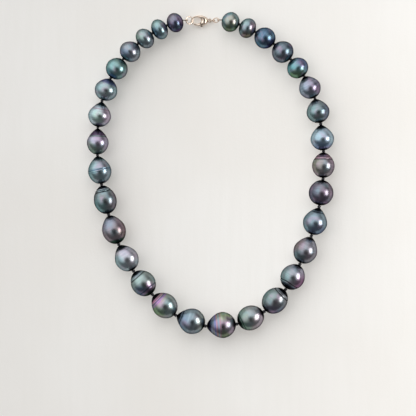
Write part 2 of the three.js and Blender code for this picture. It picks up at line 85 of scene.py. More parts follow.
# From the left end of the strand, round the front, to the right end.
LOOKS = [
    look(0.0, "6e708a", [("NW", "8a8890", 0.6), ("SE", "3c3450", 0.5)]),
    look(0.05, "8ca0a6", [("NW", "9cb6b4", 0.6), ("SW", "60788c", 0.4)]),
    look(0.05, "9caab0", [("W", "98aea6", 0.6), ("SE", "7c868e", 0.4)]),
    look(0.2, "989ea6", [("SW", "7088a0", 0.5), ("NE", "7e8294", 0.4)]),
    look(0.08, "829e9e", [("W", "8cb2b2", 0.5), ("NE", "748c82", 0.4), ("SW", "648692", 0.3)]),
    look(0.26, "9cb0b6", [("W", "9cb6bc", 0.5), ("TOP", "9cacac", 0.3)], [(0.45, "6c7094")]),
    look(0.55, "bcc6d2", [("W", "c4dce2", 0.5), ("TOP", "b0c8be", 0.4), ("E", "bcaebe", 0.5)],
         [(0.62, "27393c"), (-0.78, "2c4a44")], [(0.42, 0.04, "a890a0")]),
    look(0.5, "aca4b6", [("W", "b2b6c4", 0.5), ("S", "70887c", 0.4), ("SW", "8ca096", 0.3)],
         [(0.38, "54465c"), (0.8, "241c2a")], [(0.36, 0.14, "28604c")]),
    look(0.42, "98a8ae", [("W", "98b6ba", 0.5), ("E", "929ca6", 0.4)], [(0.66, "21383e")],
         [(0.0, 0.15, "3c5c78"), (-0.12, 0.05, "7894a0"), (0.12, 0.04, "8298a4")]),
    look(0.2, "868c8e", [("SW", "80a2a4", 0.5), ("E", "827c84", 0.4)], [(0.7, "444a56"), (-0.72, "2c3a44")],
         [(0.6, 0.3, "1e2026"), (0.74, 0.16, "a4aeb4"), (0.84, 0.14, "26282e")]),
    look(0.3, "968e94", [("NW", "8a96a6", 0.5), ("E", "7a6e6c", 0.4)], [(-0.66, "1e4838"), (0.78, "22242c")]),
    look(0.4, "b8bac2", [("N", "b8aebe", 0.4), ("SW", "9cbabe", 0.5)], [(0.62, "242c34"), (-0.84, "30343c")]),
    look(0.16, "949e9c", [("NW", "a2bab6", 0.5), ("S", "566c88", 0.5), ("SE", "6c5a70", 0.35)],
         [(0.7, "1e2a34"), (-0.7, "30503c")],
         [(0.58, 0.24, "10161c"), (0.7, 0.12, "98a8b0"), (-0.5, 0.2, "34485a")]),
    look(0.22, "98a4a4", [("NW", "c49cb2", 0.55), ("N", "a8a694", 0.3), ("SW", "86a07e", 0.4)],
         [(0.74, "2c1e30")],
         [(0.46, 0.08, "a070b8"), (0.56, 0.16, "4c3880"), (0.68, 0.1, "b47898"), (0.78, 0.12, "2a1c2c")]),
    look(0.42, "8e9aa2", [("W", "7e92aa", 0.6), ("E", "9ca29e", 0.4)], [(0.7, "16181e"), (-0.82, "22303a")],
         [(0.66, 0.14, "14181e")], streaks=0.2),
    look(0.4, "968e96",
         [("W", "8894ae", 0.5), ("S", "7c8a70", 0.35), ("N", "98a888", 0.35), ("E", "9c92a0", 0.3)],
         [(0.66, "2a2344"), (-0.82, "26222c")],
         [(0.4, 0.05, "7c7cc0"), (0.3, 0.04, "b88aa0"), (0.2, 0.04, "8ca0b4"), (0.1, 0.03, "b08c9c")],
         streaks=0.26),
    look(0.06, "a09e9e", [("W", "8ea49a", 0.55), ("SW", "829a8e", 0.4), ("E", "b4aab6", 0.5)],
         [(0.76, "26222e"), (-0.72, "1a3430")], [(-0.66, 0.14, "1c4436")]),
    look(0.06, "8a8c90", [("NW", "869a98", 0.5), ("S", "706a80", 0.4)], [(0.7, "20242a"), (-0.78, "1c2024")],
         [(0.6, 0.22, "14161a"), (0.72, 0.14, "b0b8be"), (0.8, 0.12, "1c2026")]),
    look(0.14, "9a9ca4", [("W", "88a2a2", 0.5), ("NE", "a8a4b4", 0.4), ("SE", "8c6684", 0.35)],
         [(-0.6, "20222e"), (0.84, "26202c")], [(-0.56, 0.3, "101218"), (-0.7, 0.16, "6a7a88")]),
    look(0.36, "94929a", [("NW", "888280", 0.3), ("SW", "68787e", 0.4), ("NE", "a4a6b2", 0.4)],
         [(0.74, "3c3438"), (-0.8, "22343a")]),
    look(0.46, "8e9ea8", [("W", "8298a0", 0.5), ("S", "6c7490", 0.4)], [(0.74, "1e2a34"), (-0.8, "242c34")],
         [(0.68, 0.1, "2c3844")]),
    look(0.1, "86808a", [("W", "666c7a", 0.5), ("S", "645c70", 0.4)], [(0.8, "241e2c"), (-0.78, "26222a")]),
    look(0.22, "989498", [("W", "929488", 0.5), ("E", "948894", 0.4)],
         [(0.46, "a48c9a"), (0.8, "3a2c34"), (-0.82, "2a2a26")],
         [(0.44, 0.2, "40363a"), (0.56, 0.08, "b89aa8"), (0.68, 0.1, "5c4a54")]),
    look(0.5, "acc0cc", [("W", "acc4d0", 0.5), ("S", "7084a4", 0.4)], [(0.64, "1c242e"), (-0.84, "2c3a40")]),
    look(0.36, "849296", [("W", "8ca8aa", 0.5), ("E", "72788a", 0.4)], [(0.76, "1a2226"), (-0.8, "1c2624")]),
    look(0.34, "8e90a0", [("W", "9eacbc", 0.5), ("E", "80748a", 0.4)], [(0.74, "3a3442"), (-0.82, "2a2c34")],
         streaks=0.28),
    look(0.1, "78969e", [("W", "76a6ac", 0.5), ("NE", "6a6c8e", 0.5), ("S", "74906a", 0.4)],
         [(0.82, "2c2034"), (-0.8, "20302a")]),
    look(0.16, "707a84", [("W", "7a8890", 0.5), ("E", "585c6e", 0.4)], [(-0.84, "202228")]),
    look(0.1, "5c7288", [("W", "5c8092", 0.5), ("SE", "3c3c60", 0.4)], [(-0.84, "181c28")]),
    look(0.0, "8898a0", [("NW", "98b0b0", 0.5), ("E", "90848c", 0.4), ("S", "706854", 0.4)]),
    look(0.0, "8a9c9c", [("NW", "82a8b0", 0.5), ("TOP", "aca89c", 0.35), ("S", "647458", 0.5)]),
]

# ---------------------------------------------------------------- small helpers


def linear(part):
    """The linear value of one sRGB part of a colour."""
    return max(part, 0) / 12.92 if part <= 0.04045 else ((part + 0.055) / 1.055) ** 2.4


def shade_smooth(mesh, sharp_degrees):
    """Smooth shading. Edges steeper than sharp_degrees, if it is given, stay sharp."""
    mesh.polygons.foreach_set("use_smooth", [True] * len(mesh.polygons))
    if sharp_degrees:
        mesh.set_sharp_from_angle(angle=math.radians(sharp_degrees))


def to_mesh(name, points, faces, sharp_degrees=None):
    """A new mesh object with smooth shading."""
    mesh = bpy.data.meshes.new(name)
    mesh.from_pydata([tuple(p) for p in points], [], faces)
    mesh.update()
    shade_smooth(mesh, sharp_degrees)
    piece = bpy.data.objects.new(name, mesh)
    bpy.context.scene.collection.objects.link(piece)
    return piece


def skin(sections, closed=False):
    """Points and faces of a solid through a row of sections, with flat ends unless it closes on itself."""
    count = len(sections[0])
    points = [p for section in sections for p in section]
    faces = []
    steps = len(sections) if closed else len(sections) - 1
    for i in range(steps):
        first, second = i * count, ((i + 1) % len(sections)) * count
        for j in range(count):
            k = (j + 1) % count
            faces.append((first + j, first + k, second + k, second + j))
    if not closed:
        faces.append(tuple(reversed(range(count))))
        faces.append(tuple(range((len(sections) - 1) * count, len(sections) * count)))
    return points, faces


def join(*solids):
    """Several solids as one list of points and one of faces."""
    points, faces = [], []
    for more_points, more_faces in solids:
        offset = len(points)
        points += list(more_points)
        faces += [tuple(i + offset for i in face) for face in more_faces]
    return points, faces


def level_axes(path):
    """Two axes across a path at each of its points, which turn with the path but never spin round it."""
    last = len(path) - 1
    side = None
    for i in range(last + 1):
        tangent = (path[min(i + 1, last)] - path[max(i - 1, 0)]).normalized()
        if side is None:
            side = tangent.orthogonal().normalized()
        side = (side - tangent * side.dot(tangent)).normalized()
        yield side, tangent.cross(side)


def tube(path, radius, sides=8, twist=0.0, lobes=0.0, ends=1.0):
    """A solid of round wire or thread along a path.

    lobes dents the section in two places, and twist turns them by so many degrees for each unit of length.
    ends is how wide the first and last sections are, as a share of the rest.
    """
    sections, run = [], 0.0
    for i, (side, up) in enumerate(level_axes(path)):
        run += (path[i] - path[i - 1]).length if i else 0.0
        spin = math.radians(twist) * run
        width = radius * (ends if i in (0, len(path) - 1) else 1.0)
        section = []
        for j in range(sides):
            turn = 2 * math.pi * j / sides
            reach = width * (1 - lobes * (1 - abs(math.cos(turn - spin))))
            section.append(path[i] + (side * math.cos(turn) + up * math.sin(turn)) * reach)
        sections.append(section)
    return skin(sections)


def boolean(piece, other, operation):
    """Cuts or joins other, then removes it."""
    step = piece.modifiers.new("step", "BOOLEAN")
    step.object, step.operation, step.solver = other, operation, "EXACT"
    bpy.context.view_layer.update()
    shaped = piece.evaluated_get(bpy.context.evaluated_depsgraph_get())
    mesh = bpy.data.meshes.new_from_object(shaped)
    piece.modifiers.clear()
    piece.data = mesh
    bpy.data.objects.remove(other)
    return piece


# ---------------------------------------------------------------- node helpers


class Graph:
    """The nodes of a new material or world, with one short call for each kind of step."""

    def __init__(self, owner):
        owner.use_nodes = True
        self.owner = owner
        self.tree = owner.node_tree

    def node(self, kind, inputs=(), **settings):
        made = self.tree.nodes.new(kind)
        for key, value in settings.items():
            setattr(made, key, value)
        for key, value in dict(inputs).items():
            self.feed(made.inputs[key], value)
        return made

    def feed(self, socket, value):
        if isinstance(value, bpy.types.NodeSocket):
            self.tree.links.new(value, socket)
        else:
            socket.default_value = value

    def maths(self, operation, *values):
        return self.node("ShaderNodeMath", enumerate(values), operation=operation).outputs[0]

    def vector(self, operation, *values):
        made = self.node("ShaderNodeVectorMath", enumerate(values), operation=operation)
        return made.outputs["Value" if operation == "DOT_PRODUCT" else "Vector"]

    def step(self, value, low, high, to_low=0.0, to_high=1.0):
        """Rises softly from to_low to to_high as value goes from low to high."""
        ends = {"From Min": low, "From Max": high, "To Min": to_low, "To Max": to_high}
        made = self.node("ShaderNodeMapRange", {"Value": value, **ends}, interpolation_type="SMOOTHSTEP")
        return made.outputs["Result"]

    def noise(self, place, scale, detail=2.0, rough=0.5, output="Fac"):
        inputs = {"Vector": place, "Scale": scale, "Detail": detail, "Roughness": rough}
        return self.node("ShaderNodeTexNoise", inputs).outputs[output]

    def cells(self, place, scale):
        """The distance from the middles of scattered cells."""
        return self.node("ShaderNodeTexVoronoi", {"Vector": place, "Scale": scale}).outputs["Distance"]

    def mix(self, share, first, second, blend="MIX"):
        made = self.node("ShaderNodeMix", data_type="RGBA", blend_type=blend, clamp_factor=True)
        self.feed(made.inputs[0], share)
        self.feed(made.inputs[6], first)
        self.feed(made.inputs[7], second)
        return made.outputs[2]

    def bump(self, height, distance, strength):
        inputs = {"Height": height, "Distance": distance, "Strength": strength}
        return self.node("ShaderNodeBump", inputs).outputs["Normal"]

    def set(self, **sockets):
        """Feeds the material's shader and gives the material back."""
        shader = self.tree.nodes["Principled BSDF"]
        for key, value in sockets.items():
            self.feed(shader.inputs[key.replace("_", " ")], value)
        return self.owner


def material_graph(name):
    """The node graph of a new material."""
    return Graph(bpy.data.materials.new(name))


# ---------------------------------------------------------------- the strand's line

joints = {joint["name"]: joint for joint in frame["joints"]}


def knot_place(number):
    """The middle of the knot after a pearl, counted from the left end."""
    return Vector(joints[f"knot_{number:02d}_{number + 1:02d}"]["pos_m"])


def node_points(name):
    """The points of a CAD node, in metres."""
    return np.array([v.co for v in frame["nodes"][name].data.vertices], float)


class Pearl:
    """A pearl measured from its CAD node: its middle, its own axes, half its length and its widest radius."""

    def __init__(self, number):
        self.number = number
        self.body = f"pearl_{number:02d}"
        points = node_points(self.body)
        nearest_knot = knot_place(min(number, PEARL_COUNT - 1))
        if 1 < number < PEARL_COUNT:
            along = knot_place(number - 1) - knot_place(number)
        else:
            along = Vector(np.mean(np.unique(points.round(7), axis=0), axis=0)) - nearest_knot
        if FRONT_PEARL < number < PEARL_COUNT:
            along = -along
        self.along = along.normalized()
        self.side = UP.cross(self.along).normalized()
        self.above = self.along.cross(self.side)
        axis = np.array(self.along)
        origin = np.array(nearest_knot)
        run = (points - origin) @ axis
        self.middle = Vector(origin + axis * (run.min() + run.max()) / 2)
        self.half_length = (run.max() - run.min()) / 2
        from_middle = points - np.array(self.middle)
        self.radius = np.linalg.norm(from_middle - np.outer(from_middle @ axis, axis), axis=1).max()

    def matrix(self):
        axes = Matrix((self.along, self.side, self.above)).transposed().to_4x4()
        axes.translation = self.middle
        return axes

    def to_own(self, direction):
        """A direction of the world in the pearl's own axes."""
        return Vector((direction.dot(self.along), direction.dot(self.side), direction.dot(self.above)))


pearls = [Pearl(number) for number in range(1, PEARL_COUNT + 1)]

# ---------------------------------------------------------------- nacre

GROOVE_WIDTH = 0.26 * MM
GROOVE_REACH = 1.9  # how far a groove's raised lips and its colour go, in groove widths
GROOVE_TILT = 0.04
NACRE_DEPTH = 0.84  # how much light nacre gives back, as a share of its hex colour
SATURATION = 1.1
BRIGHTNESS = (0.3, 0.59, 0.11)  # how bright red, green and blue look
PATCH_LIFT = 0.55  # patches lie on the upper half of the side that they name, where they paint light and shade by side
PATCH_STRENGTH = 0.85
PATCH_CORE = 0.95  # how near its middle, at most 1, a patch is at full strength
PATCH_START = 1.05  # and where it starts, less PATCH_REACH for a spread of 1
PATCH_REACH = 1.25
CAP_STRENGTH = 0.92
OVERTONE = 0.4  # how strongly the pink and blue below drift over a pearl
PINK_OVERTONE = "b094ac"
BLUE_OVERTONE = "86a6ae"
SEED_STEP = (3.1, 1.7, 0.9)  # from one pearl's stretch of the noise to the next one's
PATCH_DRIFT = (0.5, 0.5, 0.5)  # how far noise moves the patches' edges
EDGE_DRIFT = (0.12, 0.12, 0.12)  # and the edges of the caps
BAND_STRETCH = (9.0, 0.8, 0.8)  # the bands are narrow along the pearl and run round it
CAP_EDGE = (0.05, 0.13)  # a cap fades in from just before its start to just after
RING_LINE = 0.9  # how strongly a groove takes its own colour
HOLE_SHADE_EDGE = 0.86  # where the painted shade round the hole, by the knot, starts, as a share of half the pearl's length
HOLE_SHADE_STRENGTH = 0.85
HOLE_SHADE_TONE = (0.012, 0.013, 0.018, 1)
PIT_EDGE = (0.05, 0.02)  # a pit comes in between these distances from its middle
PIT_TONE = (0.02, 0.02, 0.025, 1)
LUSTRE = (0.27, 0.34)  # roughness, from the glossiest to the dullest grain
DARK_RIM = (0.0, 0.0, 0.0, 1)  # nacre turns towards this where it is seen edge on
BORE_R = 0.6 * MM
HOLE_LIP = 0.985  # where the hole's wall starts, as a share of half the pearl's length
PEARL_SIDES = 56
PLAIN_RINGS = 64
GROOVED_RINGS = 110
NARROWING_START = 0.3  # how far behind the middle a pearl starts to narrow
NARROWEST = BORE_R * 1.03  # a pearl's radius at its ends, just wider than its hole
DENT_SCALE = 1.2  # the higher, the closer together its dents
DENT_STEP = (7.3, 1.9, 0)  # from one pearl's stretch of noise to the next one's
DENT_FILL = 0.6  # the higher, the more of its skin is dented
GROOVE_EVENNESS = 0.75  # at 1 a groove would be as deep all the way round
GROOVE_LIP = 0.25  # the raised lip beside a groove, as a share of its depth


def groove_lean(pearl, index):
    """Which way a groove leans: no ring round a real pearl is quite square to its axis."""
    turn = 1.7 * pearl.number + 0.9 * index
    return Vector((0, GROOVE_TILT * math.cos(turn), GROOVE_TILT * math.sin(turn)))


def deep(text):
    """The colour of nacre that looks like this hex triplet in the room's light."""
    parts = [int(text[i:i + 2], 16) / 255 for i in (0, 2, 4)]
    grey = sum(weight * part for weight, part in zip(BRIGHTNESS, parts))
    return tuple(NACRE_DEPTH * linear(grey + (part - grey) * SATURATION) for part in parts) + (1.0,)


def add_patches_and_side_light(g, colour, pearl, patches, loose):
    """Soft patches on the sides of the pearl that the compass names: the pearl's own hues, with painted light
    on the sides towards the broad light and painted shade on the sides away from it.
    """
    for side, tone, spread in patches:
        x, y = COMPASS[side]
        facing = pearl.to_own(Vector((x, y, PATCH_LIFT)).normalized())
        nearness = g.vector("DOT_PRODUCT", loose, tuple(facing))
        share = g.step(nearness, PATCH_START - PATCH_REACH * spread, PATCH_CORE, 0.0, PATCH_STRENGTH)
        colour = g.mix(share, colour, deep(tone))
    return colour


def add_overtone(g, colour, seeded):
    """The drift of pink and blue that thin layers of nacre give."""
    drift = g.noise(seeded, scale=1.4)
    colour = g.mix(g.step(drift, 0.5, 0.72, 0.0, OVERTONE), colour, deep(PINK_OVERTONE))
    return g.mix(g.step(drift, 0.5, 0.28, 0.0, OVERTONE), colour, deep(BLUE_OVERTONE))


def add_caps_and_tip_shade(g, colour, caps, run):
    """A different colour from each cap's start to that end of the pearl: the dark caps are painted shade next
    to the knots, the lighter ones the pearl's own tone.
    """
    for start, tone in caps:
        outwards = math.copysign(1, start)
        share = g.step(run, start - CAP_EDGE[0] * outwards, start + CAP_EDGE[1] * outwards, 0.0, CAP_STRENGTH)
        colour = g.mix(share, colour, deep(tone))
    return colour


def add_ring_lines(g, colour, pearl, rings, spot):
    """The colour in each groove round the pearl."""
    for index, (at, _, tone) in enumerate(rings):
        lean = Vector((1, 0, 0)) - groove_lean(pearl, index)
        off = g.maths("ABSOLUTE", g.maths("SUBTRACT", g.vector("DOT_PRODUCT", spot, tuple(lean)), at))
        share = g.step(off, GROOVE_REACH * GROOVE_WIDTH / pearl.half_length, 0.0, 0.0, RING_LINE)
        colour = g.mix(share, colour, deep(tone))
    return colour


def nacre(pearl, spec):
    """Dark cultured nacre: a body colour with drifting overtones, growth rings and fine pits, with painted
    light and shade by side in its patches and painted shade at its tips, by the knots.
    """
    g = material_graph(f"nacre_{pearl.number:02d}")
    place = g.node("ShaderNodeTexCoord").outputs["Object"]
    spot = g.vector("MULTIPLY", place, (1 / pearl.half_length, 1 / pearl.radius, 1 / pearl.radius))
    seeded = g.vector("ADD", spot, tuple(pearl.number * step for step in SEED_STEP))
    drift = g.vector("SUBTRACT", g.noise(seeded, scale=1.5, detail=3.0, output="Color"), (0.5, 0.5, 0.5))
    loose = g.vector("MULTIPLY_ADD", drift, PATCH_DRIFT, spot)
    run = g.vector("DOT_PRODUCT", g.vector("MULTIPLY_ADD", drift, EDGE_DRIFT, spot), (1, 0, 0))
    bands = g.noise(g.vector("MULTIPLY", seeded, BAND_STRETCH), scale=1.0, detail=4.0, rough=0.6)
    pit = g.step(g.cells(seeded, scale=5.0), *PIT_EDGE)
    grain = g.noise(seeded, scale=7.0, detail=4.0, rough=0.6)
    colour = add_patches_and_side_light(g, deep(spec["body"]), pearl, spec["patches"], loose)
    colour = add_overtone(g, colour, seeded)
    colour = g.mix(spec["streaks"] * 2, colour, g.step(bands, 0.3, 0.7, 0.25, 0.85), "SOFT_LIGHT")
    colour = add_caps_and_tip_shade(g, colour, spec["caps"], run)
    colour = add_ring_lines(g, colour, pearl, spec["rings"], spot)
    # painted shade: each end darkens towards near-black round the hole, where pearl and knot meet
    hole_shade = g.step(g.maths("ABSOLUTE", run), HOLE_SHADE_EDGE, 1.0, 0.0, HOLE_SHADE_STRENGTH)
    colour = g.mix(hole_shade, colour, HOLE_SHADE_TONE)
    colour = g.mix(g.maths("MULTIPLY", pit, 0.5), colour, PIT_TONE)
    height = g.maths("SUBTRACT", g.maths("MULTIPLY", grain, 0.5), g.maths("MULTIPLY", pit, 0.6))
    height = g.maths("ADD", height, g.maths("MULTIPLY", bands, 0.4))
    g.set(Base_Color=colour, Roughness=g.step(grain, 0.25, 0.75, *LUSTRE))
    g.set(Normal=g.bump(height, distance=0.03 * MM, strength=0.5), Metallic=1.0, Specular_Tint=DARK_RIM)
    return g.set(Coat_Weight=0.1, Coat_Roughness=0.15)


def pearl_outline(pearl, spec, height):
    """The radius at each height from -1 to 1, as a share of the widest one."""
    taper = spec["taper"]
    hole = math.asin(BORE_R / pearl.radius)
    turn = np.arccos(np.clip(-height * math.cos(hole), -1, 1))
    lean = 1 if taper >= 0 else -1
    reach = np.clip((lean * height + NARROWING_START) / (1 + NARROWING_START), 0, None)
    return np.sin(turn) * (1 - abs(taper) * reach ** 2)


def uneven(directions, seed, amount):
    """A smooth random dent for each direction from a pearl's middle, never outwards."""
    start = Vector(seed * step for step in DENT_STEP)
    dents = [noise.noise(Vector(d) * DENT_SCALE + start) for d in directions]
    return 1 - amount * (np.array(dents) + DENT_FILL).clip(0, None)


def make_pearl(pearl, spec):
    """A drilled pearl as one closed skin: its outside with the grooves round it, and the wall of its hole."""
    rings = GROOVED_RINGS if spec["rings"] else PLAIN_RINGS
    height = -np.cos(np.linspace(0, math.pi, rings + 1))
    share = pearl_outline(pearl, spec, height)
    share /= max(share.max(), 1e-6)
    turn = np.linspace(0, 2 * math.pi, PEARL_SIDES, endpoint=False)
    h, t = np.meshgrid(height, turn, indexing="ij")
    radius = np.repeat(share[:, None], PEARL_SIDES, axis=1)
    directions = np.stack([h, radius * np.cos(t), radius * np.sin(t)], axis=-1).reshape(-1, 3)
    radius = radius * uneven(directions, pearl.number, spec["wobble"]).reshape(radius.shape)
    for index, (at, depth, _) in enumerate(spec["rings"]):
        lean = groove_lean(pearl, index)
        off = (h - radius * (lean.y * np.cos(t) + lean.z * np.sin(t)) - at) * pearl.half_length / GROOVE_WIDTH
        strength = GROOVE_EVENNESS + (1 - GROOVE_EVENNESS) * np.cos(t + 2.1 * index + pearl.number)
        shape = np.exp(-off ** 2) - GROOVE_LIP * np.exp(-(off - GROOVE_REACH) ** 2)
        radius = radius - strength * depth * MM / pearl.radius * shape
    radius = np.maximum(radius * pearl.radius, NARROWEST)
    sections = [
        [(h[i, j] * pearl.half_length, radius[i, j] * math.cos(turn[j]), radius[i, j] * math.sin(turn[j]))
         for j in range(PEARL_SIDES)]
        for i in range(rings + 1)
    ]
    for end in (HOLE_LIP, HOLE_LIP / 2, -HOLE_LIP / 2, -HOLE_LIP):
        sections.append([(end * pearl.half_length, BORE_R * math.cos(a), BORE_R * math.sin(a)) for a in turn])
    points, faces = skin(sections, closed=True)
    faces = [tuple(reversed(face)) for face in faces]
    piece = to_mesh(f"nacre_{pearl.body}", points, faces, 50)
    piece.matrix_world = pearl.matrix()
    piece.data.materials.append(nacre(pearl, spec))
    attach(piece, pearl.body)
    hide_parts(pearl.body)
    return piece


for pearl, spec in zip(pearls, LOOKS):
    make_pearl(pearl, spec)

# ---------------------------------------------------------------- silk thread

THREAD_R = 0.3 * MM
TWIST = 135 / MM  # degrees for each metre of thread
KNOT_R = 0.62 * MM
KNOT_WRAPS = 2.25
KNOT_STEPS = 44
KNOT_SLANT = 0.35  # how far each wrap leans along the line
KNOT_FULLNESS = 0.45  # the lower, the sooner the knot is at its full width
KNOT_MARGIN = THREAD_R * 0.4  # between the knot's middle line and the pearls
KNOT_MIN_REACH = THREAD_R * 0.3
WRAP_R = (THREAD_R * 0.75, THREAD_R * 1.25)  # the thinnest and the thickest that the knot's strand gets
WRAP_SHARE = 0.32  # its radius between those two, as a share of the room between the pearls
WRAP_LOBES = 0.12
WRAP_ENDS = 0.6
LINE_R = THREAD_R * 0.9
LINE_LOBES = 0.22
LINE_STEPS = 14
SILK_FIBRES = (9000.0, 9000.0, 2500.0)  # grains of noise in a metre, along each axis
SILK_DARK = (0.004, 0.004, 0.006, 1)
SILK_LIGHT = (0.028, 0.026, 0.034, 1)


def silk():
    """Black silk: two plies with a faint fibre along them and a soft sheen."""
    g = material_graph("black_silk")
    place = g.node("ShaderNodeTexCoord").outputs["Object"]
    fibres = g.noise(g.vector("MULTIPLY", place, SILK_FIBRES), scale=1.0, detail=3.0)
    colour = g.mix(g.step(fibres, 0.3, 0.7), SILK_DARK, SILK_LIGHT)
    g.set(Base_Color=colour, Roughness=g.step(fibres, 0.2, 0.8, 0.5, 0.75))
    g.set(Normal=g.bump(fibres, distance=0.03 * MM, strength=0.8), Specular_IOR_Level=0.35)
    return g.set(Sheen_Weight=0.25, Sheen_Roughness=0.4)


black_silk = silk()


def knot_path(along, across, up, room):
    """An overhand knot pulled tight: two wraps round the line, with the free strand laid over them."""
    points = []
    reach = max(room / 2 - KNOT_MARGIN, KNOT_MIN_REACH)
    for i in range(KNOT_STEPS + 1):
        share = i / KNOT_STEPS
        turn = 2 * math.pi * KNOT_WRAPS * share
        swell = math.sin(math.pi * share) ** KNOT_FULLNESS
        x = reach * (KNOT_SLANT * math.sin(turn) * swell - math.cos(math.pi * share))
        out = KNOT_R * swell
        points.append(along * x + across * math.cos(turn) * out + up * math.sin(turn) * out)
    return points


def lay_thread(number):
    """The thread from the middle of one pearl, through its hole and a knot, to the middle of the next."""
    here = knot_place(number)
    left, right = pearls[number - 1], pearls[number]
    mouths = [p.middle + (here - p.middle).normalized() * p.half_length for p in (left, right)]
    along = mouths[1] - mouths[0]
    room = along.length
    along.normalize()
    across = UP.cross(along).normalized()
    up = along.cross(across)
    shares = np.linspace(0, 1, LINE_STEPS)[:-1]
    lead = [left.middle.lerp(here, s) for s in shares]
    tail = [right.middle.lerp(here, s) for s in shares[::-1]]
    inner = [p for p in lead if (p - here).dot(along) < -room / 2]
    outer = [p for p in tail if (p - here).dot(along) > room / 2]
    coil = [here + p for p in knot_path(along, across, up, room)]
    start, end = here - along * room / 2, here + along * room / 2
    line = tube(inner + [start, here, end] + outer, LINE_R, 10, twist=TWIST, lobes=LINE_LOBES)
    wrap_r = max(WRAP_R[0], min(WRAP_R[1], room * WRAP_SHARE))
    wrap = tube(coil, wrap_r, twist=TWIST, lobes=WRAP_LOBES, ends=WRAP_ENDS)
    points, faces = join(line, wrap)
    piece = to_mesh(f"thread_{number:02d}_{number + 1:02d}", points, faces)
    piece.data.materials.append(black_silk)
    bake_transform(piece)
    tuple(start)
    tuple(end)
    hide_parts("silk_thread")
    return piece


for number in range(1, PEARL_COUNT):
    lay_thread(number)

# ---------------------------------------------------------------- gold

GOLD_HAIRS = (600.0, 9000.0, 2600.0)  # the same for its scratches
GOLD_DULL = (0.66, 0.53, 0.43, 1)
GOLD_BRIGHT = (0.82, 0.7, 0.59, 1)
GOLD_BLOOM = (0.34, 0.25, 0.18, 1)
RING_STEPS = 72
RING_SIDES = 16
RING_ENDS = 0.93  # a ring's two cut ends are a little narrower


def gold():
    """Pale rose gold, rubbed soft, with hairline scratches and a brown bloom in patches."""
    g = material_graph("rose_gold")
    place = g.node("ShaderNodeTexCoord").outputs["Object"]
    cloud = g.noise(place, scale=900.0, detail=4.0, rough=0.6)
    hair = g.noise(g.vector("MULTIPLY", place, GOLD_HAIRS), scale=1.0, detail=3.0, rough=0.7)
    colour = g.mix(g.step(cloud, 0.35, 0.7), GOLD_DULL, GOLD_BRIGHT)
    colour = g.mix(g.step(cloud, 0.32, 0.22, 0.0, 0.6), colour, GOLD_BLOOM)
    g.set(Base_Color=colour, Roughness=g.step(hair, 0.3, 0.7, 0.16, 0.34))
    return g.set(Normal=g.bump(hair, distance=0.012 * MM, strength=0.5), Metallic=1.0)


rose_gold = gold()


def finish_metal(piece, body, node):
    """Gives a piece its gold, and puts it on its body in place of its CAD node."""
    piece.data.materials.append(rose_gold)
    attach(piece, body)
    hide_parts(node)
    return piece


class Ring:
    """A CAD ring's middle, its long and wide axes, its half sizes at the middle of the wire, and its wire."""

    def __init__(self, node):
        points = np.unique(node_points(node).round(7), axis=0)
        self.middle = points.mean(axis=0)
        _, _, axes = np.linalg.svd(points - self.middle, full_matrices=False)
        self.long, self.wide = Vector(axes[0]), Vector(axes[1])
        spread = np.abs((points - self.middle) @ axes.T).max(axis=0)
        self.wire = spread[2]
        self.half_length, self.half_width = spread[0] - self.wire, spread[1] - self.wire
        self.middle = Vector(self.middle)

    def path(self, steps, gap_degrees, turn_of_gap):
        """The middle of the wire, open by a hair where the ring's two ends meet."""
        turns = np.radians(np.linspace(gap_degrees / 2, 360 - gap_degrees / 2, steps) + turn_of_gap)
        long, wide = self.long * self.half_length, self.wide * self.half_width
        return [self.middle + long * math.cos(t) + wide * math.sin(t) for t in turns]


def make_ring(name, node, body, gap_degrees, turn_of_gap):
    """A ring of round wire that follows a CAD ring."""
    ring = Ring(node)
    path = ring.path(RING_STEPS, gap_degrees, turn_of_gap)
    points, faces = tube(path, ring.wire, RING_SIDES, ends=RING_ENDS)
    return finish_metal(to_mesh(name, points, faces, 40), body, node)


make_ring("left_jump_ring", "jump_ring_left", "ring_left", 2.2, 40)
make_ring("oval_link", "chain_link", "link", 1.6, 75)
make_ring("right_jump_ring", "jump_ring_right", "ring_right", 2.4, 160)

# ---------------------------------------------------------------- gimp loops at the ends

LOOP_R = 0.94 * MM
GIMP_START = 0.85 * MM
GIMP_MOUTH = 0.5 * MM
COIL_R = 0.26 * MM
COIL_WIRE_R = 0.085 * MM
COIL_PITCH = 0.19 * MM
COIL_STEPS = 300
CORE_R = 0.15 * MM
CORE_LOBES = 0.15
STRAND_STEPS = 140
LEG_STEPS = 20
LEG_INTO_PEARL = 0.6 * MM
LOOP_TURNS = range(125, -126, -25)  # degrees round the ring's wire, from above to below
CORE_BEND = 0.1 * MM  # the thread's straight part ends this far inside the hole's mouth
CORE_STEPS = 8
SPAN_STEPS = 24  # for each span of a smooth line, before its points are spaced evenly


def smooth_line(points, steps):
    """Evenly spaced points on a Catmull-Rom line."""
    points = [Vector(p) for p in points]
    padded = [points[0] * 2 - points[1]] + points + [points[-1] * 2 - points[-2]]
    dense = []
    for i in range(1, len(padded) - 2):
        a, b, c, d = padded[i - 1:i + 3]
        for s in np.linspace(0, 1, SPAN_STEPS, endpoint=False):
            dense.append(0.5 * (2 * b + (c - a) * s + (2 * a - 5 * b + 4 * c - d) * s ** 2
                                + (3 * b - a - 3 * c + d) * s ** 3))
    dense.append(points[-1])
    lengths = np.cumsum([0] + [(q - p).length for p, q in zip(dense, dense[1:])])
    spots = np.linspace(0, lengths[-1], steps)
    table = np.array([tuple(p) for p in dense])
    return [Vector(p) for p in np.stack([np.interp(spots, lengths, table[:, k]) for k in range(3)], axis=1)]


def coil_round(path, radius, pitch):
    """A coil's line round a path."""
    length = sum((q - p).length for p, q in zip(path, path[1:]))
    line = []
    for i, (point, (side, up)) in enumerate(zip(path, level_axes(path))):
        turn = 2 * math.pi * length / pitch * i / (len(path) - 1)
        line.append(point + (side * math.cos(turn) + up * math.sin(turn)) * radius)
    return line


